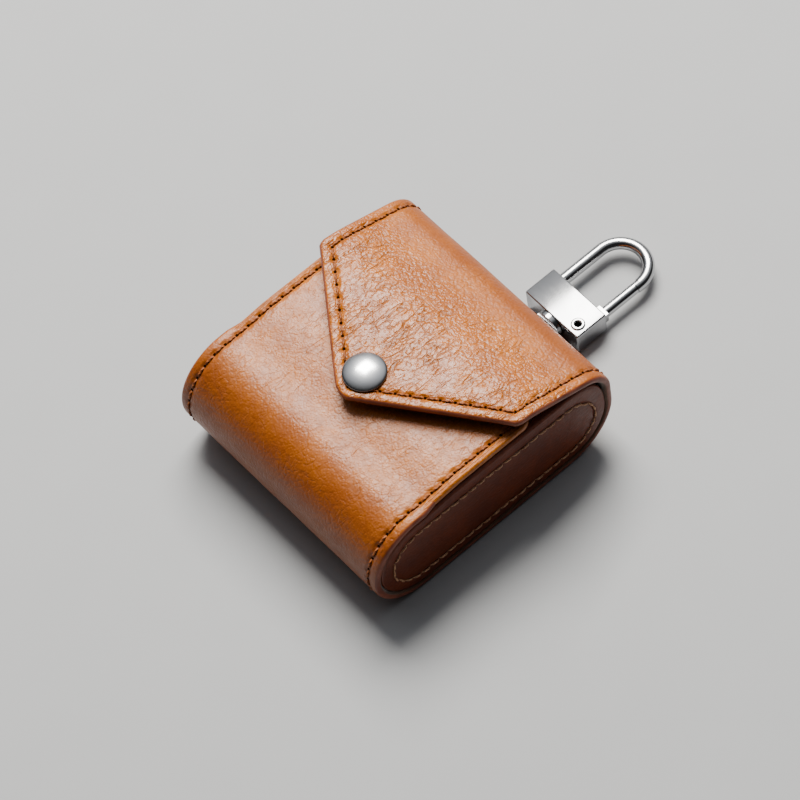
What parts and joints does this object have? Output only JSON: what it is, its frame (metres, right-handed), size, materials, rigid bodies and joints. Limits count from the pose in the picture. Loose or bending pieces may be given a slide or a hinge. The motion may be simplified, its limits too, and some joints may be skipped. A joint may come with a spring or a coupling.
{
  "type": "headphone carrying case",
  "caption": "Stitched leather earbud carrying case with stadium side panels, an envelope snap flap and a swivel snap hook on a strap behind its top end.",
  "frame": {"origin": "centre of the shell's flat back face, on which it lies", "axes": "+Z from the back to the front flap, +Y to the top end with the hook, +X to the right side panel seen from the front"},
  "size_m": [0.059, 0.0937, 0.0309],
  "materials": {
    "leather": "waxed, burnished at the bends, painted cut edges",
    "side_leather": "waxed, darker",
    "lining": "suede split, matte",
    "board": "thin stiffener sheet",
    "thread": "waxed polyester",
    "polished_cap": "polished nickel",
    "plated_metal": "satin nickel",
    "polished_metal": "polished nickel",
    "spring_steel": "bare wire"
  },
  "bodies": {
    "shell": {"wrap_leather": "leather", "wrap_lining": "lining", "wrap_thread_left": "thread", "wrap_thread_right": "thread", "side_leather_left": "side_leather", "side_leather_right": "side_leather", "side_board_left": "board", "side_board_right": "board", "side_lining_left": "lining", "side_lining_right": "lining", "side_thread_left": "thread", "side_thread_right": "thread", "snap_stud": "plated_metal", "stud_rivet": "plated_metal", "hook_tab": "leather", "tab_rivet": "plated_metal"},
    "flap": {"flap_leather": "leather", "flap_lining": "lining", "flap_thread": "thread", "snap_cap": "polished_cap", "snap_socket": "plated_metal"},
    "eye": {"swivel_eye": "polished_metal", "swivel_post": "polished_metal"},
    "clip": {"clip_block": "polished_metal", "hook_bow": "polished_metal", "gate_rivet": "polished_metal", "gate_spring": "spring_steel"},
    "gate": {"gate": "polished_metal"}
  },
  "joints": [
    {"name": "flap_fold", "type": "hinge", "parent": "shell", "child": "flap", "pos_m": [0, 0.031, 0.01215], "axis": [-1, 0, 0], "range_deg": [0, 100]},
    {"name": "eye_tilt", "type": "hinge", "parent": "shell", "child": "eye", "pos_m": [0.0038, 0.0328, 0.0033], "axis": [1, 0, 0], "range_deg": [-90, 10]},
    {"name": "clip_swivel", "type": "hinge", "parent": "eye", "child": "clip", "pos_m": [0.0038, 0.0372, 0.0033], "axis": [0, 1, 0], "continuous": true},
    {"name": "gate_pivot", "type": "hinge", "parent": "clip", "child": "gate", "pos_m": [0.0093, 0.0395, 0.0033], "axis": [0, 0, 1], "range_deg": [0, 25], "stiffness_Nm_per_rad": 0.02, "springref_deg": -17.19, "deforming": ["gate_spring"]}
  ]
}
